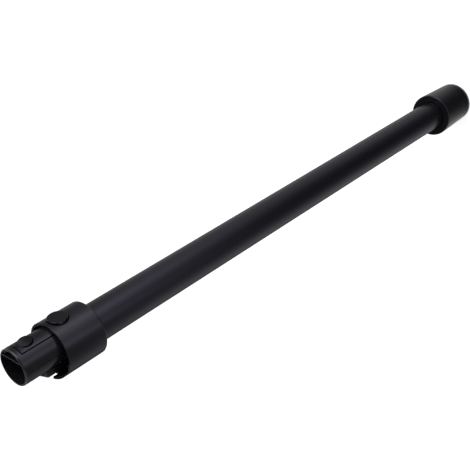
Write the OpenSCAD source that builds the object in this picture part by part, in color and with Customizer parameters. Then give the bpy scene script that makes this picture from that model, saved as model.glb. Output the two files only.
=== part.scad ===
// Extension wand of a cordless stick vacuum cleaner, standing on its socket.
// It is drawn lying along X, from the mouth of the spigot (x = 0) to the mouth
// of the socket, with the latch towards +Z. X is then the axis of the spigot and
// of the socket bore; the tube and both collars share an axis duct_rise below it.
// upright() stands each piece up: the socket's mouth comes to z = 0, the spigot
// points up, and the latch faces +X.

/* [Overall] */
// Length from the spigot mouth to the socket mouth
wand_length = 711; // [620:1:900]
// Height of the spigot axis above the tube axis
duct_rise = 4.5; // [4.2:0.1:4.7]

/* [Tube] */
// Outer diameter of the aluminium tube
tube_od = 35; // [34:0.5:36]
// Wall of the aluminium tube
tube_wall = 1.2; // [1:0.1:1.5]
// Height of the cable web's top above the tube axis
web_top = 10.5; // [9.5:0.1:11]
// Thickness of the cable web
web_wall = 1; // [0.8:0.1:1.2]
// Diameter of one insulated wire
wire_d = 1.8; // [1.4:0.1:2]
// Distance of each wire from the middle inside the tube
wire_offset = 4; // [3:0.5:6]

/* [Spigot] */
// Step from the tube's surface in to the spigot's, on the radius
spigot_step = 0.75; // [0.5:0.05:1]
// Wall of the spigot
spigot_wall = 1.8; // [1.5:0.1:2]
// Length of the spigot in front of the collar
spigot_reach = 36; // [34:0.5:38]
// Chamfer on the rim of the spigot mouth
mouth_chamfer = 0.8; // [0.4:0.1:1.2]
// Depth of the deck that closes the airway, below the spigot's surface
deck_depth = 8.15; // [7.95:0.1:8.35]
// Thickness of the deck
deck_wall = 1; // [0.8:0.1:1.4]
// Recess of the contact block's face in the mouth
block_recess = 0.8; // [0.4:0.1:1.2]
// Length of the contact block
block_length = 7.4; // [7:0.1:7.4]
// Width of the contact slot in the mouth
slot_w = 15; // [14:0.2:16]
// Height of the contact slot in the mouth
slot_h = 5.4; // [5.2:0.1:5.6]
// Depth of the contact slot in its block
slot_depth = 6.4; // [6:0.1:6.4]
// Clear space between moulded pieces of one assembly
fit_gap = 0.2; // [0.1:0.05:0.3]

/* [Top panel] */
// Width of the panel over the latch channel
panel_w = 18.6; // [18:0.2:19]
// Distance of the panel's front edge from the mouth
panel_front = 4.6; // [4:0.1:5]
// Thickness of the panel
panel_wall = 1.5; // [1.2:0.1:1.8]
// Joint line around the panel
panel_gap = 0.6; // [0.3:0.05:0.6]

/* [Guide shoe] */
// Height of the shoe's surface above the tube's
shoe_rise = 0.9; // [0.7:0.1:1.1]
// Height of the shoe's top edges above the spigot axis
shoe_top = -8; // [-9:0.5:-6]
// Distance of the shoe's ramp from the mouth
ramp_front = 16.8; // [16:0.1:17.4]
// Length of the ramp
ramp_length = 6.6; // [5:0.1:7]
// Height of the joint line on the spigot's side, above the spigot axis
side_line = 0.4; // [-1:0.1:2]
// Width and depth of the joint line's groove
side_groove = 0.45; // [0.3:0.05:0.6]

/* [Latch] */
// Distance of the lever's pivot behind the collar's front
pivot_back = 31.5; // [30.5:0.5:32.5]
// Height of the pivot above the tube's surface
pivot_rise = 2.4; // [2.3:0.1:2.5]
// Diameter of the pivot pin
pin_d = 2; // [1.6:0.1:2.2]
// Radial running clearance on the pin
pin_clearance = 0.05; // [0.02:0.01:0.08]
// Width of the lever
lever_w = 8; // [7:0.5:8]
// Thickness of the lever's bars
lever_t = 1.7; // [1.5:0.1:1.8]
// Depth of the lever's front bar below the spigot's surface
lever_depth = 4.55; // [4.35:0.05:4.55]
// Distance of the catch from the mouth
catch_x = 14.4; // [14:0.1:15]
// Diameter of the catch
catch_d = 12.2; // [11.8:0.1:12.6]
// Height of the catch's steep edge above the spigot's surface
catch_rise = 1.5; // [1.4:0.1:1.7]
// Slope of the catch's top, falling towards the mouth
catch_slope = 9; // [7:1:10]
// Play around the catch in the panel
catch_play = 0.45; // [0.3:0.05:0.5]
// Swing of the lever from rest until the catch is flush
lever_swing = 2.2; // [2:0.05:2.4]

/* [Latch spring] */
// Distance of the spring behind the collar's front
spring_back = 7; // [6.5:0.5:8]
// Mean diameter of the coil
coil_d = 4.8; // [4.4:0.1:5.2]
// Diameter of the spring wire
coil_wire_d = 0.7; // [0.5:0.1:0.8]
// Number of turns
coil_turns = 5; // [4:1:6]

/* [Release button] */
// Distance of the button behind the collar's front
button_back = 12.5; // [12:0.5:13]
// Diameter of the button
button_d = 17.8; // [17:0.2:18.6]
// Play around the button in the collar
button_play = 0.4; // [0.25:0.05:0.5]
// Height of the button above the collar's surface
button_rise = 1.3; // [1:0.1:1.6]
// Wall of the button
button_wall = 1.4; // [1:0.1:1.6]

/* [Spigot collar] */
// Height of the collar's surface above the tube's, beside the spigot
collar_rise = 7.25; // [7:0.05:7.5]
// Length of that collar
collar_length = 40.5; // [40:0.5:44]
// Wall of that collar
collar_wall = 1.8; // [1.6:0.1:2]
// Depth of the collar's open front
cup_depth = 12; // [11:0.5:12.5]
// Thickness of the spigot's flange behind the open front
flange_wall = 4; // [3:0.5:4.5]
// Reach of the collar's lower lip in front of its top edge
chin_reach = 4.8; // [3:0.1:5]
// Half width of the notch in the lower lip
notch_half = 3.3; // [2.5:0.1:4]
// Radius on the collar's rear edge
collar_round = 1.4; // [1:0.1:3]

/* [Socket collar] */
// Length of the collar at the socket end
socket_collar_length = 58.8; // [56:0.2:62]
// Height of its surface above the tube's, at its front
socket_front_rise = 8.8; // [8.5:0.05:9]
// Height of its surface above the tube's, at the socket mouth
socket_rear_rise = 6.95; // [6.8:0.05:7.2]
// Wall of that collar
socket_collar_wall = 2; // [1.8:0.1:2.2]
// Radius on its front edge
socket_round = 1.6; // [1:0.1:3]

/* [Socket] */
// Play of a spigot in the socket, on the radius
socket_play = 0.15; // [0.1:0.01:0.3]
// Wall of the socket liner
liner_wall = 1.6; // [1.4:0.1:1.8]
// Relief of the bore in front of its guiding land, on the radius
mouth_relief = 0.25; // [0.2:0.05:0.4]
// Thickness of the liner's bulkhead and of its mouth flange
bulkhead_wall = 4; // [3:0.5:5]
// Length of the plugs that enter the tube
plug_length = 14; // [12:1:18]
// Length of the contact tongue in the socket
tongue_length = 5; // [4:0.5:6]
// Width of the seal groove in the socket
seal_groove_w = 3; // [2.8:0.1:3.4]

/* [Fasteners and contacts] */
// Diameter of a screw's shank
screw_d = 2.6; // [2:0.1:3]
// Diameter of a screw's head
screw_head_d = 5; // [4.4:0.1:5.6]
// Thickness of a contact strip
contact_t = 0.5; // [0.4:0.1:0.6]
// Width of a contact strip
contact_w = 2.2; // [1.8:0.1:2.4]

/* [Hidden] */
$fn = 96;
eps = 0.01;
tube_z = -duct_rise;
tube_r = tube_od / 2;
tube_in = tube_r - tube_wall;
spigot_r = tube_r - spigot_step;
shoe_r = tube_r + shoe_rise;
spigot_in = spigot_r - spigot_wall;
deck_top = spigot_r - deck_depth;
deck_bottom = deck_top - deck_wall;
lever_z = spigot_r - lever_depth;

// Stations along the wand at the spigot end
collar_front = spigot_reach;
collar_rear = collar_front + collar_length;
flange_front = collar_front + cup_depth;
flange_rear = flange_front + flange_wall;
tube_front = flange_rear + fit_gap;
panel_rear = collar_front + 1.4;
collar_r = tube_r + collar_rise;
collar_in = collar_r - collar_wall;
rear_wall = 5;
pivot_x = collar_front + pivot_back;
spring_x = collar_front + spring_back;
button_x = collar_front + button_back;

// Stations along the wand at the socket end
socket_collar_front = wand_length - socket_collar_length;
socket_floor = wand_length - spigot_reach - 0.5;
bulkhead_front = socket_floor - bulkhead_wall;
tube_rear = bulkhead_front - fit_gap;
socket_r = spigot_r + socket_play;
pocket_r = shoe_r + socket_play;
pocket_ramp = wand_length - spigot_reach + ramp_front - 0.5;
pocket_floor = pocket_ramp + ramp_length;
socket_front_r = tube_r + socket_front_rise;
socket_rear_r = tube_r + socket_rear_rise;
socket_front_in = socket_front_r - socket_collar_wall;
socket_rear_in = socket_rear_r - socket_collar_wall;
front_wall = 8;
seal_x = socket_floor + tongue_length + 0.5;

// Heights above the spigot axis
web_z = tube_z + web_top;
wire_z = web_z + wire_d / 2 + 0.1;
spigot_wire_y = 8.7;
spigot_wire_z = deck_top + wire_d / 2 + 0.1;
pivot_z = tube_z + tube_r + pivot_rise;
rear_bar_z = pivot_z - 0.9;
rear_bar_top = rear_bar_z + lever_t;
riser_x = panel_rear + 0.6;
stop_top = spigot_r - panel_wall - 0.6;
slot_z = deck_top + 0.3;
block_rear = block_recess + block_length;
block_r = spigot_in - fit_gap / 2;
contact_pitch = 5;
tongue_w = 9.4;
tongue_z = slot_z + 2 * contact_t + 0.1;
button_top = tube_z + collar_r + button_rise;
skirt_z = rear_bar_top + 2;
foot_z = pivot_z + 0.8;
foot_t = 1;
foot_y = [lever_w / 2 + 0.4, lever_w / 2 + 2.4];
arm_y = [lever_w / 2 + 0.6, lever_w / 2 + 2.4];
arm_top = foot_z - 1.5;
near_screw_x = tube_front + plug_length / 2;
far_screw_x = tube_rear - plug_length / 2;
screw_sink = 1.2;
steel = [0.72, 0.72, 0.74];
brass = [0.80, 0.66, 0.36];
black_plastic = [0.09, 0.09, 0.10];
dark_plastic = [0.13, 0.13, 0.14];
black_rubber = [0.05, 0.05, 0.05];
satin_tube = [0.11, 0.11, 0.13];

// Turns the lying wand upright, onto the mouth of its socket
module upright() {
    translate([0, 0, wand_length])
        rotate([0, 90, 0])
            children();
}

// A round bar or cone along X from x0 to x1, with its axis at height z
module bar(x0, x1, r, z = 0, r2 = -1) {
    translate([x0, 0, z])
        rotate([0, 90, 0])
            cylinder(h = x1 - x0, r1 = r, r2 = r2 < 0 ? r : r2);
}

// A box from its lowest to its highest corner
module block(low, high) {
    translate(low)
        cube(high - low);
}

// A slab that reaches past the wand on all sides but one, from z0 upwards
module above(z0, x0, x1) {
    block([x0, -60, z0], [x1, 60, 60]);
}

// The same slab, from z0 downwards
module below(z0, x0, x1) {
    block([x0, -60, -60], [x1, 60, z0]);
}

// A turned shape about the tube axis: points are [x, radius]
module turned(points) {
    translate([0, 0, tube_z])
        rotate([0, 90, 0])
            rotate_extrude()
                polygon([for (p = points) [p[1], p[0]]]);
}

// Points of a quarter round from angle a0 to a1 about [x, r]
function quarter(x, r, radius, a0, a1, steps = 8) =
    [for (i = [0 : steps])
        let (a = a0 + (a1 - a0) * i / steps)
        [x + radius * cos(a), r + radius * sin(a)]];

// The open part of the airway in the spigot and the socket: a circle under the deck
module duct_airway(x0, x1, r) {
    difference() {
        bar(x0, x1, r);
        above(deck_bottom, x0 - 1, x1 + 1);
    }
}

// The open part of the airway in a plug: a circle about the tube axis under the web
module plug_airway(x0, x1) {
    difference() {
        bar(x0, x1, tube_in - fit_gap - spigot_wall, tube_z);
        above(web_z - web_wall - fit_gap - spigot_wall / 2, x0 - 1, x1 + 1);
    }
}

// A plug that enters the tube under its cable web
module tube_plug(x0, x1) {
    difference() {
        bar(x0, x1, tube_in - fit_gap, tube_z);
        above(web_z - web_wall - fit_gap, x0 - 1, x1 + 1);
    }
}

// The extruded tube with its cable web
module tube_section() {
    difference() {
        circle(tube_r);
        difference() {
            circle(tube_in);
            translate([web_top - web_wall, -tube_r])
                square([web_wall, tube_od]);
        }
    }
}

module outer_tube() {
    color(satin_tube)
        upright()
            difference() {
                translate([tube_front, 0, tube_z])
                    rotate([0, 90, 0])
                        linear_extrude(tube_rear - tube_front)
                            mirror([1, 0])
                                tube_section();
                tube_screw_hole(near_screw_x);
                tube_screw_hole(far_screw_x);
            }
}

module tube_screw_hole(x) {
    translate([x, 0, tube_z - tube_r - 1])
        cylinder(h = tube_wall + 2, d = screw_d + 0.1, $fn = 32);
}

// A wire swept through a list of points, as rings that stand across X
module swept_wire(points) {
    sides = 8;
    ring = [for (i = [0 : sides - 1]) wire_d / 2 * [cos(360 * i / sides), sin(360 * i / sides)]];
    count = len(points);
    corners = [for (p = points) for (q = ring) [p[0], p[1] + q[0], p[2] + q[1]]];
    walls = [for (j = [0 : count - 2]) for (i = [0 : sides - 1])
        let (k = (i + 1) % sides)
        [j * sides + i, (j + 1) * sides + i, (j + 1) * sides + k, j * sides + k]];
    first_end = [[for (i = [0 : sides - 1]) i]];
    last_end = [[for (i = [sides - 1 : -1 : 0]) (count - 1) * sides + i]];
    polyhedron(points = corners, faces = concat(walls, first_end, last_end), convexity = 4);
}

// Route of one wire, from the spigot's contact block to the socket's
function wire_route(side) = [
    [block_rear, side * spigot_wire_y, spigot_wire_z],
    [flange_front + 1.6, side * spigot_wire_y, spigot_wire_z],
    [tube_front, side * (wire_offset + 3), wire_z + 1.3],
    [tube_front + 5, side * (wire_offset + 0.6), wire_z + 0.2],
    [tube_front + 9, side * wire_offset, wire_z],
    [tube_rear - 6, side * wire_offset, wire_z],
    [tube_rear - 3, side * wire_offset, wire_z + 0.6],
    [bulkhead_front, side * wire_offset, wire_z + 2]];

module wire_positive() {
    color("firebrick")
        upright()
            swept_wire(wire_route(1));
}

module wire_negative() {
    color("dimgray")
        upright()
            swept_wire(wire_route(-1));
}

// The moulded spigot: duct, deck, mouth wall, flange, tube plug and pivot ears
module spigot_body() {
    color(black_plastic)
        upright()
            difference() {
                union() {
                    bar(0, mouth_chamfer, spigot_r - mouth_chamfer / 2, r2 = spigot_r);
                    bar(mouth_chamfer - eps, flange_front + eps, spigot_r);
                    bar(flange_front, flange_rear, collar_in - fit_gap, tube_z);
                    tube_plug(flange_rear - eps, flange_rear + plug_length);
                    for (side = [-1, 1])
                        pivot_ear(side);
                }
                duct_airway(-1, flange_front + 1, spigot_in);
                plug_airway(flange_front, flange_rear + plug_length + 1);
                difference() {
                    bar(-1, flange_front + eps, spigot_in);
                    below(deck_top, -2, flange_rear + 1);
                }
                lever_slot();
                panel_window();
                for (side = [-1, 1])
                    side_line_groove(side);
                screw_bore(near_screw_x);
            }
}

// The flange is open under the button, round the lever and round the wires
module lever_slot() {
    x0 = flange_front - 4;
    x1 = flange_rear + 1;
    block([x0, -button_d / 2 - 1, arm_top], [x1, button_d / 2 + 1, 40]);
    block([x0, -arm_y[0], deck_top], [x1, arm_y[0], 40]);
    block([flange_front - 1, -spigot_wire_y - 1.6, deck_top],
        [x1, spigot_wire_y + 1.6, spigot_wire_z + 1.3]);
    block([flange_front + 1.5, -spigot_wire_y - 1.6, web_z + 0.2],
        [x1, spigot_wire_y + 1.6, spigot_wire_z]);
}

module panel_window() {
    block([panel_front, -panel_w / 2, deck_top + 2], [flange_front, panel_w / 2, 40]);
}

// The joint line along the spigot's side, with a short cross line at its front end
module side_line_groove(side) {
    front = 3.6;
    depth = side_groove;
    edge_y = sqrt(spigot_r * spigot_r - side_line * side_line);
    block([front, min(side * (edge_y - depth), side * 20), side_line - side_groove],
        [flange_front - 1, max(side * (edge_y - depth), side * 20), side_line]);
    difference() {
        intersection() {
            bar(front, front + side_groove, 20);
            block([front - 1, min(side * 5, side * 20), side_line - 2.2],
                [front + 1, max(side * 5, side * 20), side_line + 3.6]);
        }
        bar(front - 1, front + 1, spigot_r - depth);
    }
}

// An ear of the spigot that carries the pivot pin above the tube
module pivot_ear(side) {
    y0 = min(side * arm_y[0], side * arm_y[1]);
    y1 = max(side * arm_y[0], side * arm_y[1]);
    arm_z = tube_z + tube_r + 0.3;
    difference() {
        union() {
            block([flange_front + 1, y0, arm_z], [pivot_x + 2.6, y1, arm_top]);
            block([pivot_x - 2.6, y0, arm_z], [pivot_x + 2.6, y1, pivot_z + 1.7]);
        }
        pivot_bore();
    }
}

module pivot_bore() {
    translate([pivot_x, 0, pivot_z])
        rotate([90, 0, 0])
            cylinder(h = 40, r = pin_d / 2 + pin_clearance, center = true, $fn = 48);
}

// The hole that a collar's screw cuts into a plug
module screw_bore(x) {
    translate([x, 0, tube_z - tube_r - 1])
        cylinder(h = tube_wall + spigot_wall + 3, d = screw_d, $fn = 32);
}

// The ramped shoe under the spigot
module guide_shoe() {
    color(black_plastic)
        upright()
            difference() {
                turned([[ramp_front, 0], [ramp_front, spigot_r - duct_rise - eps],
                    [ramp_front + ramp_length, shoe_r], [flange_front, shoe_r], [flange_front, 0]]);
                bar(0, flange_front + 1, spigot_r);
                above(shoe_top, 0, flange_front + 1);
            }
}

// The curved cover of the latch channel, with the hole for the catch
module top_panel() {
    color(black_plastic)
        upright()
            difference() {
                intersection() {
                    difference() {
                        bar(panel_front + panel_gap, panel_rear, spigot_r);
                        bar(0, panel_rear + 1, spigot_r - panel_wall);
                    }
                    block([0, -panel_w / 2 + panel_gap, 0],
                        [panel_rear + 1, panel_w / 2 - panel_gap, 40]);
                }
                translate([catch_x, 0, 0])
                    cylinder(h = 40, d = catch_d + 2 * catch_play);
            }
}

// The rocking lever with the catch at its front and the pivot hub at its rear
module latch_lever() {
    half = lever_w / 2;
    color(dark_plastic)
        upright()
            difference() {
                union() {
                    block([catch_x, -half, lever_z], [riser_x + lever_t, half, lever_z + lever_t]);
                    block([riser_x, -half, lever_z], [riser_x + lever_t, half, rear_bar_top]);
                    block([riser_x, -half, rear_bar_z], [pivot_x, half, rear_bar_top]);
                    translate([pivot_x, half, pivot_z])
                        rotate([90, 0, 0])
                            cylinder(h = lever_w, r = 2.1, $fn = 48);
                    catch_pad();
                    block([catch_x, -3, lever_z], [catch_x + catch_d / 2 + 3, 3, stop_top]);
                    translate([spring_x, 0, rear_bar_z - 1])
                        cylinder(h = 1 + eps, d = coil_d - coil_wire_d - 0.6, $fn = 32);
                }
                pivot_bore();
            }
}

// The round catch, cut off by a plane that falls towards the mouth
module catch_pad() {
    difference() {
        translate([catch_x, 0, lever_z])
            cylinder(h = 12, d = catch_d);
        translate([catch_x + catch_d / 2, 0, spigot_r + catch_rise])
            rotate([0, -catch_slope, 0])
                block([-40, -20, 0], [20, 20, 20]);
    }
}

module lever_pin() {
    color(steel)
        upright()
            translate([pivot_x, 0, pivot_z])
                rotate([90, 0, 0])
                    cylinder(h = 2 * arm_y[1] + 0.4, d = pin_d, center = true, $fn = 48);
}

// A coil of round wire between the deck and the lever
module latch_spring() {
    steps = 14;
    sides = 6;
    z0 = deck_top + coil_wire_d / 2;
    z1 = rear_bar_z - coil_wire_d / 2;
    count = coil_turns * steps + 1;
    corners = [for (j = [0 : count - 1]) for (i = [0 : sides - 1])
        let (turn = 360 * j / steps,
            ring = 360 * i / sides,
            r = coil_d / 2 + coil_wire_d / 2 * cos(ring),
            z = z0 + (z1 - z0) * j / (count - 1) + coil_wire_d / 2 * sin(ring))
        [spring_x + r * cos(turn), r * sin(turn), z]];
    walls = [for (j = [0 : count - 2]) for (i = [0 : sides - 1])
        let (k = (i + 1) % sides)
        [j * sides + i, j * sides + k, (j + 1) * sides + k, (j + 1) * sides + i]];
    first_end = [[for (i = [sides - 1 : -1 : 0]) i]];
    last_end = [[for (i = [0 : sides - 1]) (count - 1) * sides + i]];
    color(steel)
        upright()
            polyhedron(points = corners, faces = concat(walls, first_end, last_end), convexity = 6);
}

// The round release button: cap, skirt, four hooked feet and the boss on the lever
module release_button() {
    r = button_d / 2;
    edge = 0.3;
    color(black_plastic)
        upright()
            translate([button_x, 0, 0]) {
                difference() {
                    union() {
                        translate([0, 0, skirt_z])
                            cylinder(h = button_top - edge - skirt_z, r = r);
                        translate([0, 0, button_top - edge - eps])
                            cylinder(h = edge + eps, r1 = r, r2 = r - edge);
                    }
                    translate([0, 0, skirt_z - 1])
                        cylinder(h = button_top - button_wall - skirt_z + 1, r = r - button_wall);
                }
                translate([0, 0, rear_bar_top + 0.3])
                    cylinder(h = button_top - button_wall / 2 - rear_bar_top - 0.3, r = 2, $fn = 48);
                for (end = [-1, 1])
                    for (side = [-1, 1])
                        button_foot(end, side);
            }
}

// One foot, hooked under the collar's wall
module button_foot(end, side) {
    r = button_d / 2;
    reach = sqrt(r * r - foot_y[1] * foot_y[1]) - 0.3;
    y0 = min(side * foot_y[0], side * foot_y[1]);
    y1 = max(side * foot_y[0], side * foot_y[1]);
    leg = [reach - 1.2, reach];
    hook = [reach - 1.2, r + button_play + 0.9];
    block([min(end * leg[0], end * leg[1]), y0, foot_z],
        [max(end * leg[0], end * leg[1]), y1, button_top - button_wall / 2]);
    block([min(end * hook[0], end * hook[1]), y0, foot_z],
        [max(end * hook[0], end * hook[1]), y1, foot_z + foot_t]);
}

// Face seal at the bottom of the collar's open front
module spigot_seal() {
    seal_t = 2.2;
    color(black_rubber)
        upright()
            difference() {
                turned([[flange_front - seal_t, shoe_r + 0.3], [flange_front - seal_t, collar_in - 0.6],
                    [flange_front, collar_in - 0.3], [flange_front, shoe_r + 0.3]]);
                bar(0, flange_front + 1, spigot_r + 0.3);
                block([flange_front - seal_t - 1, -button_d / 2 - 1, deck_top],
                    [flange_front + 1, button_d / 2 + 1, 40]);
            }
}

// The insulating block that fills the mouth above the deck, with the contact slot
module spigot_contact_holder() {
    color(dark_plastic)
        upright()
            difference() {
                bar(block_recess, block_rear, block_r);
                below(deck_top, -1, block_rear + 1);
                contact_slot();
            }
}

// A slot with a flat floor under a rounded roof
module contact_slot() {
    intersection() {
        block([-1, -slot_w / 2, slot_z], [block_recess + slot_depth, slot_w / 2, slot_z + slot_h]);
        bar(-2, block_rear, block_r - 0.4);
    }
}

// One contact strip on the floor of the spigot's slot
module spigot_contact(side) {
    y = side * contact_pitch / 2;
    color(brass)
        upright()
            block([block_recess + 2.2, y - contact_w / 2, slot_z],
                [block_recess + slot_depth, y + contact_w / 2, slot_z + contact_t]);
}

module spigot_contact_positive() {
    spigot_contact(1);
}

module spigot_contact_negative() {
    spigot_contact(-1);
}

// The collar beside the spigot: open front, button hole, lower lip and rear wall
module spigot_collar() {
    lip_front = collar_front - chin_reach;
    color(black_plastic)
        upright()
            difference() {
                union() {
                    turned(concat(
                        [[lip_front, collar_in], [lip_front, collar_r]],
                        quarter(collar_rear - collar_round, collar_r - collar_round, collar_round, 90, 0),
                        [[collar_rear, tube_r + 0.1], [collar_rear - rear_wall, tube_r + 0.1],
                        [collar_rear - rear_wall, collar_in]]));
                    collar_screw_boss(near_screw_x, collar_in);
                }
                collar_front_cut();
                translate([button_x, 0, tube_z])
                    cylinder(h = 40, r = button_d / 2 + button_play);
                block([0, -notch_half, -60], [collar_front + 1.5, notch_half, tube_z]);
                collar_screw_hole(near_screw_x, collar_r);
            }
}

// The collar's front edge: square at the top and sides, slanted forward below
module collar_front_cut() {
    lip_top = tube_z - collar_r * 0.45;
    lip_bottom = tube_z - collar_r;
    rotate([90, 0, 0])
        translate([0, 0, -40])
            linear_extrude(80)
                polygon([[0, 40], [collar_front, 40], [collar_front, lip_top],
                    [collar_front - chin_reach, lip_bottom], [collar_front - chin_reach, -50], [0, -50]]);
}

// A boss from a collar's wall down to the tube
module collar_screw_boss(x, wall_r) {
    intersection() {
        translate([x, 0, tube_z - wall_r - 0.5])
            cylinder(h = wall_r, d = screw_head_d + 2.4, $fn = 48);
        difference() {
            bar(x - 10, x + 10, wall_r + 0.5, tube_z);
            bar(x - 11, x + 11, tube_r + 0.1, tube_z);
        }
    }
}

// Clearance for the shank and the sunk head
module collar_screw_hole(x, wall_r) {
    translate([x, 0, tube_z - wall_r - 1]) {
        cylinder(h = wall_r, d = screw_d + 0.4, $fn = 32);
        cylinder(h = 1 + screw_sink + 1.6, d = screw_head_d + 0.4, $fn = 48);
    }
}

// A self-tapping pan-head screw, driven upwards into the tube and the plug
module collar_screw(x, wall_r) {
    head_z = tube_z - wall_r + screw_sink;
    color(steel)
        upright()
            difference() {
                union() {
                    translate([x, 0, head_z])
                        cylinder(h = 1.6, d = screw_head_d, $fn = 48);
                    translate([x, 0, head_z])
                        cylinder(h = wall_r - tube_in + spigot_wall - screw_sink, d = screw_d, $fn = 32);
                }
                for (turn = [0, 90])
                    translate([x, 0, head_z])
                        rotate([0, 0, turn])
                            block([-1.3, -0.25, -1], [1.3, 0.25, 0.8]);
            }
}

module spigot_collar_screw() {
    collar_screw(near_screw_x, collar_r);
}

// The tapered collar at the socket end
module socket_collar() {
    x0 = socket_collar_front;
    far_r = radius_at(far_screw_x);
    color(black_plastic)
        upright()
            difference() {
                union() {
                    turned(concat(
                        [[x0, tube_r + 0.1]],
                        quarter(x0 + socket_round, socket_front_r - socket_round, socket_round, 180, 90),
                        [[wand_length, socket_rear_r], [wand_length, socket_rear_in],
                        [x0 + front_wall, socket_front_in], [x0 + front_wall, tube_r + 0.1]]));
                    collar_screw_boss(far_screw_x, far_r - socket_collar_wall);
                }
                collar_screw_hole(far_screw_x, far_r);
            }
}

// Outer radius of the tapered collar at a station
function radius_at(x) = socket_front_r + (socket_rear_r - socket_front_r)
    * (x - socket_collar_front) / socket_collar_length;

// The socket liner: bore, pocket for the shoe, mouth flange, bulkhead and tube plug
module socket_liner() {
    mouth_r = socket_rear_in - fit_gap;
    color(dark_plastic)
        upright()
            difference() {
                intersection() {
                    union() {
                        bar(bulkhead_front, wand_length, socket_r + liner_wall);
                        bar(pocket_ramp - liner_wall, wand_length, pocket_r + liner_wall, tube_z);
                        bar(bulkhead_front, socket_floor, mouth_r, tube_z);
                        bar(wand_length - bulkhead_wall, wand_length, mouth_r, tube_z);
                        tube_plug(bulkhead_front - plug_length, bulkhead_front + eps);
                    }
                    bar(bulkhead_front - plug_length, wand_length, mouth_r
                        + (socket_front_in - socket_rear_in) * (wand_length - bulkhead_front + plug_length)
                        / (socket_collar_length - front_wall), tube_z, mouth_r);
                }
                bar(socket_floor, wand_length + 1, socket_r);
                bar(pocket_ramp, wand_length + 1, socket_r + mouth_relief);
                bar(pocket_ramp, pocket_floor, spigot_r - duct_rise, tube_z, pocket_r);
                bar(pocket_floor - eps, wand_length + 1, pocket_r, tube_z);
                duct_airway(bulkhead_front + 1, socket_floor + 1, spigot_in);
                plug_airway(bulkhead_front - plug_length - 1, socket_floor);
                bar(wand_length - 1, wand_length + eps, socket_r + mouth_relief - eps, r2 = socket_r + 0.9);
                seal_groove();
                socket_contact_opening();
                translate([wand_length - spigot_reach + catch_x, 0, 0])
                    cylinder(h = 40, d = catch_d + 2 * catch_play);
                screw_bore(far_screw_x);
            }
}

module seal_groove() {
    bar(seal_x, seal_x + seal_groove_w, socket_r + liner_wall / 2);
}

// The socket's contact block sits in this opening of the bulkhead
module socket_contact_opening() {
    block([bulkhead_front - 1, -tongue_w / 2 - 0.8, deck_top],
        [socket_floor + 1, tongue_w / 2 + 0.8, slot_z + slot_h]);
}

// The contact block with the tongue that enters a spigot's slot
module socket_contact_holder() {
    color(dark_plastic)
        upright()
            union() {
                block([bulkhead_front, -tongue_w / 2 - 0.7, deck_top + 0.1],
                    [socket_floor, tongue_w / 2 + 0.7, slot_z + slot_h - 0.1]);
                block([socket_floor - eps, -tongue_w / 2, tongue_z],
                    [socket_floor + tongue_length, tongue_w / 2, tongue_z + 2.4]);
            }
}

// One contact strip under the tongue
module socket_contact(side) {
    y = side * contact_pitch / 2;
    color(brass)
        upright()
            block([socket_floor, y - contact_w / 2, tongue_z - contact_t],
                [socket_floor + tongue_length - 0.6, y + contact_w / 2, tongue_z]);
}

module socket_contact_positive() {
    socket_contact(1);
}

module socket_contact_negative() {
    socket_contact(-1);
}

// A rubber ring in the socket's groove, proud of the bore
module socket_seal() {
    proud = socket_play + 0.05;
    low = socket_r - proud;
    high = socket_r + liner_wall / 2;
    color(black_rubber)
        upright()
            translate([seal_x, 0, 0])
                rotate([0, 90, 0])
                    rotate_extrude()
                        polygon([[high, 0], [high, seal_groove_w], [socket_r, seal_groove_w],
                            [low, seal_groove_w / 2 + 0.5], [low, seal_groove_w / 2 - 0.5], [socket_r, 0]]);
}

module socket_collar_screw() {
    collar_screw(far_screw_x, radius_at(far_screw_x));
}

outer_tube();
wire_positive();
wire_negative();
spigot_body();
guide_shoe();
top_panel();
latch_lever();
lever_pin();
latch_spring();
release_button();
spigot_seal();
spigot_contact_holder();
spigot_contact_positive();
spigot_contact_negative();
spigot_collar();
spigot_collar_screw();
socket_collar();
socket_liner();
socket_contact_holder();
socket_contact_positive();
socket_contact_negative();
socket_seal();
socket_collar_screw();
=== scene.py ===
"""Extension wand of a stick vacuum cleaner, in satin black, on a white studio floor.

The wand stands on its socket end: its spigot points up, and the latch is on the +X side.
Everything is in metres.
"""
import math
import bpy
from mathutils import Matrix, Vector


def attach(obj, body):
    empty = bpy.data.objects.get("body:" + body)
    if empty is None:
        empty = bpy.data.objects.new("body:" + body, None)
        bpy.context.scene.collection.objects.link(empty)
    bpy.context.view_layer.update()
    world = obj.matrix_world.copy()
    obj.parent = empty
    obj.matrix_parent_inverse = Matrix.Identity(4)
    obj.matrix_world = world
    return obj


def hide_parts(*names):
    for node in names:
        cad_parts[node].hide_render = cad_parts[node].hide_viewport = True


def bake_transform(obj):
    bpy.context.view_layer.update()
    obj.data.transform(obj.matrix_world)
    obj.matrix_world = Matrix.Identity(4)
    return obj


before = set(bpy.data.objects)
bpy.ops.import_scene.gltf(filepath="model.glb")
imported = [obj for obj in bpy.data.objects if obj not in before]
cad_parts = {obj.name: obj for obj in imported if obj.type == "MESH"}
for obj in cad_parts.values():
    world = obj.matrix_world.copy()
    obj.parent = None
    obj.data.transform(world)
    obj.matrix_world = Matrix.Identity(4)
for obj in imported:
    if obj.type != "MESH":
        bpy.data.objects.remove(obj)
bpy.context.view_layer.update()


# Camera: the photograph's own view, which is rolled by a few degrees

CAMERA_PLACE = (0.4015, -0.5000, 0.9860)
CAMERA_RIGHT = (-0.0621, -0.7566, -0.6510)
CAMERA_AHEAD = (-0.4809, 0.5942, -0.6447)
LENS_MM, SENSOR_MM = 65.1, 36.0
NEAREST_SEEN, FARTHEST_SEEN = 0.01, 60.0


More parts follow.
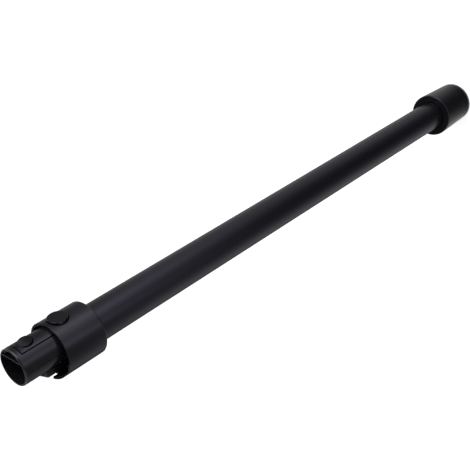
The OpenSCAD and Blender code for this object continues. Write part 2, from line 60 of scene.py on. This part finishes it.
def aim_camera():
    right = Vector(CAMERA_RIGHT).normalized()
    ahead = Vector(CAMERA_AHEAD).normalized()
    up = right.cross(ahead).normalized()
    right = ahead.cross(up).normalized()
    data = bpy.data.cameras.new("studio_camera")
    data.lens = LENS_MM
    data.sensor_width = SENSOR_MM
    data.clip_start = NEAREST_SEEN
    data.clip_end = FARTHEST_SEEN
    camera = bpy.data.objects.new("studio_camera", data)
    turn = Matrix((right, up, -ahead)).transposed().to_4x4()
    camera.matrix_world = Matrix.Translation(CAMERA_PLACE) @ turn
    bpy.context.scene.collection.objects.link(camera)
    bpy.context.scene.camera = camera


aim_camera()


# Shader maths

class Value:
    """A socket of a material's node. Sums written with it add the nodes for them."""

    def __init__(self, finish, socket):
        self.finish = finish
        self.socket = socket

    def maths(self, operation, *terms, clamp=False):
        settings = {"operation": operation, "use_clamp": clamp}
        return self.finish.node("ShaderNodeMath", settings, dict(enumerate(terms)))

    def __add__(self, other):
        return self.maths("ADD", self, other)

    def __sub__(self, other):
        return self.maths("SUBTRACT", self, other)

    def __rsub__(self, other):
        return self.maths("SUBTRACT", other, self)

    def __mul__(self, other):
        return self.maths("MULTIPLY", self, other)

    def __truediv__(self, other):
        return self.maths("DIVIDE", self, other)

    def __rtruediv__(self, other):
        return self.maths("DIVIDE", other, self)

    __radd__ = __add__
    __rmul__ = __mul__

    def larger(self, other):
        return self.maths("MAXIMUM", self, other)

    def clamped(self):
        return self.maths("ADD", self, 0.0, clamp=True)


# Painted shade for joints, grooves and inner corners: no gloss and next to no colour
PAINTED_CREVICE_SHADE = {"Base Color": (0.0016, 0.0015, 0.0020), "Roughness": 1.0, "Specular IOR Level": 0.0}


class Finish:
    """The nodes of one procedural material, or of the world, all added by one method."""

    # The sockets of a Mix node that carry colours
    MIX_FIRST, MIX_SECOND, MIX_RESULT = 6, 7, 2

    def __init__(self, owner):
        owner.use_nodes = True
        self.owner = owner
        self.tree = owner.node_tree
        self.tree.nodes.clear()

    def node(self, kind, settings=None, values=None, output=0):
        """Adds a node: its settings first, then the values or links of its sockets."""
        made = self.tree.nodes.new(kind)
        for key, value in (settings or {}).items():
            if key == "stops":
                self.set_stops(made.color_ramp, value)
            else:
                setattr(made, key, value)
        for key, value in (values or {}).items():
            socket = made.inputs[key]
            if isinstance(value, Value):
                self.tree.links.new(value.socket, socket)
            elif socket.type == "RGBA":
                socket.default_value = (*value, 1.0)
            else:
                socket.default_value = value
        return Value(self, made.outputs[output]) if made.outputs else None

    @staticmethod
    def set_stops(ramp, stops):
        """Fills a ramp from pairs of place and grey level."""
        while len(ramp.elements) < len(stops):
            ramp.elements.new(0.5)
        for element, (place, level) in zip(ramp.elements, stops):
            element.position = place
            element.color = (level, level, level, 1.0)

    def place(self, scale=(1.0, 1.0, 1.0)):
        spot = self.node("ShaderNodeTexCoord", output="Object")
        return self.node("ShaderNodeMapping", None, {"Vector": spot, "Scale": scale})

    def noise(self, where, scale, detail=2.0, roughness=0.5):
        values = {"Vector": where, "Scale": scale, "Detail": detail, "Roughness": roughness}
        return self.node("ShaderNodeTexNoise", None, values)

    def mix(self, amount, first, second):
        """A colour between two others."""
        values = {0: amount, self.MIX_FIRST: first, self.MIX_SECOND: second}
        return self.node("ShaderNodeMix", {"data_type": "RGBA"}, values, self.MIX_RESULT)

    def soft_edges(self, radius):
        return self.node("ShaderNodeBevel", {"samples": 6}, {"Radius": radius})

    def bump(self, height, distance, strength, normal=None):
        values = {"Height": height, "Distance": distance, "Strength": strength}
        if normal is not None:
            values["Normal"] = normal
        return self.node("ShaderNodeBump", None, values)

    def clear_of_painted_shade(self, reach):
        """Mask of painted shade from ambient occlusion: one on an open face, nought inside a joint,
        a groove or an inner corner narrower than the reach.
        """
        closed, fade = 0.70, 0.22
        clear = self.node("ShaderNodeAmbientOcclusion", {"samples": 8}, {"Distance": reach}, "AO")
        return ((clear - closed) / fade).clamped()

    def surface(self, clear_of_painted_shade=None, **values):
        """The finished material, with painted shade: it turns dull and near black where the mask
        falls to nought.
        """
        named = {key.replace("_", " "): value for key, value in values.items()}
        shader = self.node("ShaderNodeBsdfPrincipled", None, named)
        if clear_of_painted_shade is not None:
            # Painted shade: a dull, near-black shader that the occlusion mask mixes in
            painted_shade = self.node("ShaderNodeBsdfPrincipled", None, PAINTED_CREVICE_SHADE)
            shader = self.node("ShaderNodeMixShader", None, {0: clear_of_painted_shade, 1: painted_shade, 2: shader})
        self.node("ShaderNodeOutputMaterial", None, {"Surface": shader})
        return self.owner


def new_finish(name):
    return Finish(bpy.data.materials.new(name))


# Finishes of the wand

def moulded_plastic(name, dark, light, rough, edge=0.0003, specular=0.5, joint=0.0012):
    """Satin moulded plastic: spark-eroded grain, faint flow marks and soft edges, with painted
    shade in joints, grooves and inner corners.
    """
    finish = new_finish(name)
    where = finish.place()
    grain = finish.noise(where, scale=2600.0, detail=3.0, roughness=0.6)
    cloud = finish.noise(where, scale=38.0)
    flow = finish.noise(finish.place((40.0, 40.0, 6.0)), scale=5.0, detail=3.0)
    tone = (cloud * 0.6 + flow * 0.4).clamped()
    return finish.surface(
        # Painted shade: near black in joints, grooves and inner corners within this reach
        finish.clear_of_painted_shade(joint),
        Base_Color=finish.mix(tone, dark, light),
        Roughness=rough + (grain - 0.5) * 0.10 + (cloud - 0.5) * 0.06,
        Specular_IOR_Level=specular,
        Specular_Tint=(0.82, 0.79, 1.0),
        Normal=finish.bump(grain, distance=0.000006, strength=0.25, normal=finish.soft_edges(edge)),
    )


def tube_paint(name):
    """Satin paint over drawn aluminium: fine orange peel and a trace of draw lines."""
    finish = new_finish(name)
    where = finish.place()
    peel = finish.noise(where, scale=900.0)
    speck = finish.noise(where, scale=4200.0)
    draw = finish.noise(finish.place((260.0, 260.0, 2.0)), scale=4.0)
    tone = (speck * 0.5 + draw * 0.5).clamped()
    height = peel * 0.5 + draw * 0.3 + speck * 0.2
    return finish.surface(
        Base_Color=finish.mix(tone, (0.0056, 0.0052, 0.0072), (0.0086, 0.0081, 0.0110)),
        Roughness=0.26 + (speck - 0.5) * 0.10 + (draw - 0.5) * 0.04,
        Specular_IOR_Level=0.5,
        Specular_Tint=(0.78, 0.75, 1.0),
        Normal=finish.bump(height, distance=0.000008, strength=0.3),
    )


def plated_steel(name):
    """Bright zinc plating with fine turned marks."""
    finish = new_finish(name)
    streaks = finish.noise(finish.place((4000.0, 400.0, 400.0)), scale=1.0, detail=3.0)
    return finish.surface(
        Base_Color=finish.mix(streaks, (0.42, 0.42, 0.44), (0.66, 0.66, 0.68)),
        Metallic=1.0,
        Roughness=0.26 + streaks * 0.16,
        Normal=finish.bump(
            streaks, distance=0.00001, strength=0.4, normal=finish.soft_edges(0.0001)),
    )


def contact_brass(name):
    """Stamped brass strip, a little dulled."""
    finish = new_finish(name)
    rolled = finish.noise(finish.place((900.0, 900.0, 60.0)), scale=3.0, detail=3.0)
    return finish.surface(
        Base_Color=finish.mix(rolled, (0.55, 0.38, 0.14), (0.78, 0.60, 0.28)),
        Metallic=1.0,
        Roughness=0.30 + rolled * 0.15,
        Normal=finish.bump(rolled, distance=0.00001, strength=0.3),
    )


def seal_rubber(name):
    """Moulded seal rubber with a dry, slightly mottled skin."""
    finish = new_finish(name)
    skin = finish.noise(finish.place(), scale=1800.0, detail=4.0, roughness=0.6)
    return finish.surface(
        Base_Color=finish.mix(skin, (0.026, 0.026, 0.027), (0.042, 0.042, 0.043)),
        Roughness=0.72 + (skin - 0.5) * 0.2,
        Specular_IOR_Level=0.35,
        Normal=finish.bump(skin, distance=0.00002, strength=0.6),
    )


def wire_insulation(name, dark, light):
    """Extruded vinyl insulation, with faint marks along the wire."""
    finish = new_finish(name)
    run = finish.noise(finish.place((500.0, 500.0, 8.0)), scale=3.0)
    return finish.surface(
        Base_Color=finish.mix(run, dark, light),
        Roughness=0.42 + run * 0.12,
        Normal=finish.bump(run, distance=0.00001, strength=0.4),
    )


OUTER_BLACK = ((0.0062, 0.0060, 0.0070), (0.0092, 0.0090, 0.0102))
SMALL_PART_BLACK = ((0.0042, 0.0040, 0.0048), (0.0066, 0.0064, 0.0074))
INNER_BLACK = ((0.0030, 0.0030, 0.0034), (0.0055, 0.0055, 0.0060))
WIRE_RED = ((0.30, 0.02, 0.015), (0.42, 0.035, 0.025))
WIRE_BLACK = ((0.012, 0.012, 0.013), (0.024, 0.024, 0.026))

# How far the painted shade of a joint reaches on the latch and the button, in their holes
WIDE_PAINTED_SHADE_REACH = 0.0022

finishes = {
    "collar": moulded_plastic("collar_plastic", *OUTER_BLACK, 0.18, edge=0.0005),
    "spigot": moulded_plastic("spigot_plastic", *OUTER_BLACK, 0.20, edge=0.00015),
    "shoe": moulded_plastic("shoe_plastic", *SMALL_PART_BLACK, 0.25, specular=0.4),
    "latch": moulded_plastic(
        "latch_plastic", *SMALL_PART_BLACK, 0.30, edge=0.0002, specular=0.20, joint=WIDE_PAINTED_SHADE_REACH),
    "button": moulded_plastic(
        "button_plastic", *SMALL_PART_BLACK, 0.26, edge=0.0002, specular=0.38, joint=WIDE_PAINTED_SHADE_REACH),
    "inside": moulded_plastic("inner_plastic", *INNER_BLACK, 0.42, specular=0.4),
    "tube": tube_paint("tube_paint"),
    "steel": plated_steel("plated_steel"),
    "brass": contact_brass("contact_brass"),
    "rubber": seal_rubber("seal_rubber"),
    "red_wire": wire_insulation("red_insulation", *WIRE_RED),
    "dark_wire": wire_insulation("dark_insulation", *WIRE_BLACK),
}

WEARS = {
    "outer_tube": "tube",
    "wire_positive": "red_wire",
    "wire_negative": "dark_wire",
    "spigot_body": "spigot",
    "guide_shoe": "spigot",
    "top_panel": "spigot",
    "latch_lever": "latch",
    "lever_pin": "steel",
    "latch_spring": "steel",
    "release_button": "button",
    "spigot_seal": "rubber",
    "spigot_contact_holder": "inside",
    "spigot_contact_positive": "brass",
    "spigot_contact_negative": "brass",
    "spigot_collar": "collar",
    "spigot_collar_screw": "steel",
    "socket_collar": "collar",
    "socket_collar_screw": "steel",
    "socket_liner": "inside",
    "socket_contact_holder": "inside",
    "socket_contact_positive": "brass",
    "socket_contact_negative": "brass",
    "socket_seal": "rubber",
}


def paint_nodes():
    """Gives every solid of the CAD the finish that it wears."""
    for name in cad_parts:
        solid = bpy.data.objects[name]
        material = finishes[WEARS[name]]
        if not solid.material_slots:
            solid.data.materials.append(material)
        for slot in solid.material_slots:
            slot.material = material


paint_nodes()


# Sizes that the new pieces share. A depth is measured along the wand, behind the mouth.

MOUTH = 0.711
TUBE_AXIS = -0.0045
SPIGOT_RADIUS = 0.01675
SHOE_RADIUS = 0.0184
CATCH_DEPTH = 0.0149
CATCH_RADIUS = 0.00635
CATCH_GAP = 0.00045
EASED_EDGE = 0.0003
SMOOTH_BELOW = math.radians(35)
TURNED_SIDES = 192
CATCH_SIDES = 128


# Shaping tools

def select_only(piece):
    bpy.ops.object.select_all(action="DESELECT")
    piece.select_set(True)
    bpy.context.view_layer.objects.active = piece


def at_origin(piece):
    """Puts the piece's place, turn and size in its mesh."""
    select_only(piece)
    bpy.ops.object.transform_apply(location=True, rotation=True, scale=True)


def cut(piece, tool, operation):
    """Combines a piece with a tool body, which is used up."""
    bpy.context.view_layer.objects.active = piece
    made = piece.modifiers.new("cut", "BOOLEAN")
    made.operation = operation
    made.object = tool
    bpy.ops.object.modifier_apply(modifier=made.name)
    bpy.data.objects.remove(tool)


def ease_edges(piece, over):
    """Rounds every edge that turns by more than an angle in degrees."""
    edges = piece.modifiers.new("edges", "BEVEL")
    edges.width = EASED_EDGE
    edges.segments = 2
    edges.limit_method = "ANGLE"
    edges.angle_limit = math.radians(over)
    select_only(piece)
    bpy.ops.object.modifier_apply(modifier=edges.name)


def smooth_and_paint(piece, finish):
    select_only(piece)
    bpy.ops.object.shade_smooth_by_angle(angle=SMOOTH_BELOW)
    piece.data.materials.append(finishes[finish])


def pick_edges(piece, wanted):
    """Goes into edit mode with the edges selected whose middle the test accepts."""
    mesh = piece.data
    for group in (mesh.vertices, mesh.edges, mesh.polygons):
        for item in group:
            item.select = False
    for edge in mesh.edges:
        first, second = (mesh.vertices[index].co for index in edge.vertices)
        edge.select = wanted((first + second) / 2)
    bpy.ops.object.mode_set(mode="EDIT")
    bpy.ops.mesh.select_mode(type="EDGE")


def block(middle, size, turn=(0, 0, 0)):
    """A box to shape or to cut with."""
    bpy.ops.object.select_all(action="DESELECT")
    bpy.ops.mesh.primitive_cube_add(size=1, location=middle, rotation=turn)
    made = bpy.context.object
    made.scale = size
    at_origin(made)
    return made


def round_bar(radius, length, x):
    """A round bar that points out of the spigot where the catch is."""
    bpy.ops.object.select_all(action="DESELECT")
    bpy.ops.mesh.primitive_cylinder_add(
        vertices=CATCH_SIDES, radius=radius, depth=length,
        location=(x, 0, MOUTH - CATCH_DEPTH), rotation=(0, math.pi / 2, 0))
    made = bpy.context.object
    at_origin(made)
    return made


def turned(rings, middle=0.0):
    """A closed turned body along the wand, from pairs of depth behind the mouth and radius."""
    (depth, radius), *others = rings
    bpy.ops.object.select_all(action="DESELECT")
    bpy.ops.mesh.primitive_circle_add(
        vertices=TURNED_SIDES, radius=radius, fill_type="NGON", location=(middle, 0, MOUTH - depth))
    body = bpy.context.object
    at_origin(body)
    bpy.ops.object.mode_set(mode="EDIT")
    bpy.ops.mesh.select_all(action="SELECT")
    for next_depth, next_radius in others:
        rise = (0, 0, depth - next_depth)
        bpy.ops.mesh.extrude_region_move(TRANSFORM_OT_translate={"value": rise})
        size = next_radius / radius
        bpy.ops.transform.resize(
            value=(size, size, 1), center_override=(middle, 0, MOUTH - next_depth))
        depth, radius = next_depth, next_radius
    bpy.ops.mesh.select_all(action="SELECT")
    bpy.ops.mesh.normals_make_consistent(inside=False)
    bpy.ops.object.mode_set(mode="OBJECT")
    return body


# Pieces that take the place of a solid, or sit on one

def guide_keel():
    """The shoe under the spigot: a keel with flat flanks, and a ramped nose like a bow."""
    half_width, nose, ramp_end, root = 0.0097, 0.0158, 0.0236, 0.0478
    bow, bow_steps = 0.0072, 14
    flank_middle, flank_height = -0.0165, 0.0150
    tuck, clearance, trim, near_top, past_root = 0.0006, 0.00002, 0.0002, 0.001, 0.01
    nose_radius = SPIGOT_RADIUS + TUBE_AXIS - tuck
    bore = SPIGOT_RADIUS + clearance
    round_body = turned(
        [(root, SHOE_RADIUS), (ramp_end, SHOE_RADIUS), (nose, nose_radius)], TUBE_AXIS)

    keel = block(
        (flank_middle, 0, MOUTH - (nose + root) / 2),
        (flank_height, 2 * half_width, root - nose - trim))
    keel.name = "guide_keel"
    top = MOUTH - nose - near_top
    pick_edges(keel, lambda spot: spot.z > top and abs(spot.y) > half_width - near_top)
    bpy.ops.mesh.bevel(offset=bow, segments=bow_steps, affect="EDGES")
    bpy.ops.object.mode_set(mode="OBJECT")
    cut(keel, round_body, "INTERSECT")
    cut(keel, turned([(root + past_root, bore), (0, bore)]), "DIFFERENCE")

    ease_edges(keel, over=35)
    smooth_and_paint(keel, "shoe")
    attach(keel, "wand")
    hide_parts("guide_shoe")


def top_cover():
    """The panel in the spigot's top, with a joint wide enough to show as a dark line."""
    front, rear, wall, half_width = 0.0056, 0.0374, 0.0015, 0.0083
    outline_middle, outline_height = 0.01175, 0.0135
    corner, past_end = 0.0002, 0.001
    inner = SPIGOT_RADIUS - wall
    cover = turned(
        [(rear, SPIGOT_RADIUS), (front + corner, SPIGOT_RADIUS), (front, SPIGOT_RADIUS - corner)])
    cover.name = "top_cover"
    cut(cover, turned([(rear + past_end, inner), (front - past_end, inner)]), "DIFFERENCE")

    outline = block(
        (outline_middle, 0, MOUTH - (front + rear) / 2),
        (outline_height, 2 * half_width, rear - front + 4 * past_end))
    cut(cover, outline, "INTERSECT")
    cut(cover, round_bar(CATCH_RADIUS + CATCH_GAP, length=0.02, x=0.017), "DIFFERENCE")

    smooth_and_paint(cover, "spigot")
    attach(cover, "wand")
    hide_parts("top_panel")


def catch_cap():
    """The round catch, which stands over the lever's solid: its top falls towards the mouth."""
    height, slope, waste = 0.01742, math.radians(9), 0.03
    cap = round_bar(CATCH_RADIUS, length=0.007, x=0.0185)
    cap.name = "catch_cap"
    outward = Vector((math.cos(slope), 0, math.sin(slope)))
    top = Vector((height, 0, MOUTH - CATCH_DEPTH))
    above = block(top + outward * (waste / 2), (waste, waste, waste), turn=(0, -slope, 0))
    cut(cap, above, "DIFFERENCE")

    ease_edges(cap, over=40)
    smooth_and_paint(cap, "latch")
    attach(cap, "latch")


def coil_spring():
    """The latch's spring, made as a fixed coil; the real one shortens when the lever is pressed
    down onto it.
    """
    base, top, middle = 0.0086, 0.0145, 0.668
    radius, wire, turns, steps = 0.0024, 0.00035, 5, 24
    data = bpy.data.curves.new("coil_spring", "CURVE")
    data.dimensions = "3D"
    data.bevel_depth = wire
    data.bevel_resolution = 3
    data.use_fill_caps = True
    run = data.splines.new("POLY")
    run.points.add(turns * steps)
    for step, point in enumerate(run.points):
        turn = math.tau * step / steps
        share = step / (turns * steps)
        rise = base + wire + (top - base - 2 * wire) * share
        point.co = (rise, radius * math.sin(turn), middle - radius * math.cos(turn), 1.0)
    coil = bpy.data.objects.new("coil_spring", data)
    bpy.context.scene.collection.objects.link(coil)
    select_only(coil)
    bpy.ops.object.convert(target="MESH")
    coil = bpy.context.object
    bpy.ops.object.shade_smooth()
    coil.data.materials.append(finishes["steel"])
    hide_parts("latch_spring")
    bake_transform(coil)


guide_keel()
top_cover()
catch_cap()
coil_spring()


# Studio: a white floor and world, one soft light, and two sheets that only a gloss shows

PAPER_WHITE, PAPER_GLOW = 0.9, 0.62
WORLD_LIGHT = 0.55
CLOTH_DARK = (0.05, 0.05, 0.06)


def ramp_stops(levels):
    """Ramp stops from grey levels by bearing in degrees; a bearing turns from +X to -Y."""
    return [((bearing + 180.0) / 360.0, level) for bearing, level in levels.items()]


# What the gloss mirrors: the near levels show on the socket's collar and the lower tube,
# the middle ones on the upper tube, and the outer ones on the spigot and its collar.

NEAR_LEVELS = {
    -180: 0.24, -150: 0.16, -112: 0.38, -72: 0.40, -32: 0.41, -8: 0.34, 8: 0.22, 28: 0.08,
    49: 0.02, 69: 0.02, 90: 0.07, 110: 0.21, 130: 0.41, 150: 0.52, 170: 0.42,
}
MIDDLE_LEVELS = {
    -180: 0.20, -150: 0.18, -100: 0.42, -72: 0.36, -52: 0.38, -32: 0.50, -12: 0.78, 8: 1.00,
    28: 0.62, 49: 0.37, 69: 0.43, 90: 0.29, 110: 0.32, 130: 0.46, 150: 0.57, 170: 0.42,
}
OUTER_LEVELS = {
    -180: 0.16, -150: 0.10, -100: 0.32, -72: 0.18, -52: 0.13, -32: 0.18, -12: 0.55, 8: 1.75,
    28: 1.10, 46: 0.60, 66: 1.00, 84: 0.20, 104: 0.12, 130: 0.19, 150: 0.30, 170: 0.32,
}


def seen_in_picture(finish):
    """One where the camera, a gloss or a clear piece sees it, and nought where it only lights."""
    camera, gloss, clear = [
        finish.node("ShaderNodeLightPath", output=name)
        for name in ("Is Camera Ray", "Is Glossy Ray", "Is Transmission Ray")]
    return camera.larger(gloss).larger(clear)


def white_paper(finish):
    white = (PAPER_WHITE, PAPER_WHITE, PAPER_WHITE)
    paper = finish.node("ShaderNodeBsdfDiffuse", None, {"Color": white})
    strength = seen_in_picture(finish) * PAPER_GLOW
    glow = finish.node("ShaderNodeEmission", None, {"Strength": strength})
    return finish.node("ShaderNodeAddShader", None, {0: paper, 1: glow})


def reflector_sheet(finish):
    """Grey levels by bearing, which pass from the near ones to the middle and outer ones."""
    near_ends, near_fade = 0.45, 0.45
    middle_ends, middle_fade = 0.95, 0.33
    spot = finish.node("ShaderNodeTexCoord", output="Object")
    x, y = [finish.node("ShaderNodeSeparateXYZ", None, {0: spot}, name) for name in "XY"]
    bearing = finish.node("ShaderNodeMath", {"operation": "ARCTAN2"}, {0: y * -1.0, 1: x})
    turn = bearing / math.tau + 0.5
    reach = finish.node("ShaderNodeVectorMath", {"operation": "LENGTH"}, {0: spot}, "Value")
    near, middle, outer = [
        finish.node("ShaderNodeValToRGB", {"stops": ramp_stops(levels)}, {0: turn})
        for levels in (NEAR_LEVELS, MIDDLE_LEVELS, OUTER_LEVELS)]
    inner = finish.mix(((reach - near_ends) / near_fade).clamped(), near, middle)
    level = finish.mix(((reach - middle_ends) / middle_fade).clamped(), inner, outer)
    return finish.node("ShaderNodeEmission", None, {"Color": level})


def dark_cloth(finish):
    return finish.node("ShaderNodeEmission", None, {"Color": CLOTH_DARK})


def plain_world():
    """Soft light from all round, which the picture sees as white."""
    air = Finish(bpy.data.worlds.new("studio_world"))
    level = WORLD_LIGHT + seen_in_picture(air) * (1.0 - WORLD_LIGHT)
    sky = air.node("ShaderNodeBackground", None, {"Color": (1.0, 1.0, 1.0), "Strength": level})
    air.node("ShaderNodeOutputWorld", None, {"Surface": sky})
    bpy.context.scene.world = air.owner


def flat_sheet(name, material_name, shader, half_side, height):
    """A level square sheet of the set, whose shader is made by the function that is given."""
    finish = new_finish(material_name)
    finish.node("ShaderNodeOutputMaterial", None, {"Surface": shader(finish)})
    corners = [(x * half_side, y * half_side, height)
               for x, y in ((-1, -1), (1, -1), (1, 1), (-1, 1))]
    mesh = bpy.data.meshes.new(name)
    mesh.from_pydata(corners, [], [(0, 1, 2, 3)])
    mesh.materials.append(finish.owner)
    made = bpy.data.objects.new(name, mesh)
    bpy.context.scene.collection.objects.link(made)
    return made


def only_in_gloss(sheet):
    sheet.visible_camera = False
    sheet.visible_diffuse = False
    sheet.visible_shadow = False
    sheet.visible_transmission = False


def soft_light(name, place, target, size, power):
    data = bpy.data.lights.new(name, "AREA")
    data.shape = "SQUARE"
    data.size = size
    data.energy = power
    lamp = bpy.data.objects.new(name, data)
    away = Vector(place) - Vector(target)
    lamp.location = place
    lamp.rotation_mode = "QUATERNION"
    lamp.rotation_quaternion = away.to_track_quat("Z", "Y")
    bpy.context.scene.collection.objects.link(lamp)


plain_world()
flat_sheet("studio_floor", "floor_paper", white_paper, half_side=12, height=0)
only_in_gloss(flat_sheet(
    "reflector", "reflector_sheet", reflector_sheet, half_side=3, height=0.003))
only_in_gloss(flat_sheet(
    "dark_ceiling", "dark_cloth", dark_cloth, half_side=4, height=2.6))
soft_light("latch_side_light", place=(1.9, 0.3, 1.5), target=(0.0, 0.0, 0.4), size=1.6, power=26.0)

scene = bpy.context.scene
scene.view_settings.view_transform = "Standard"
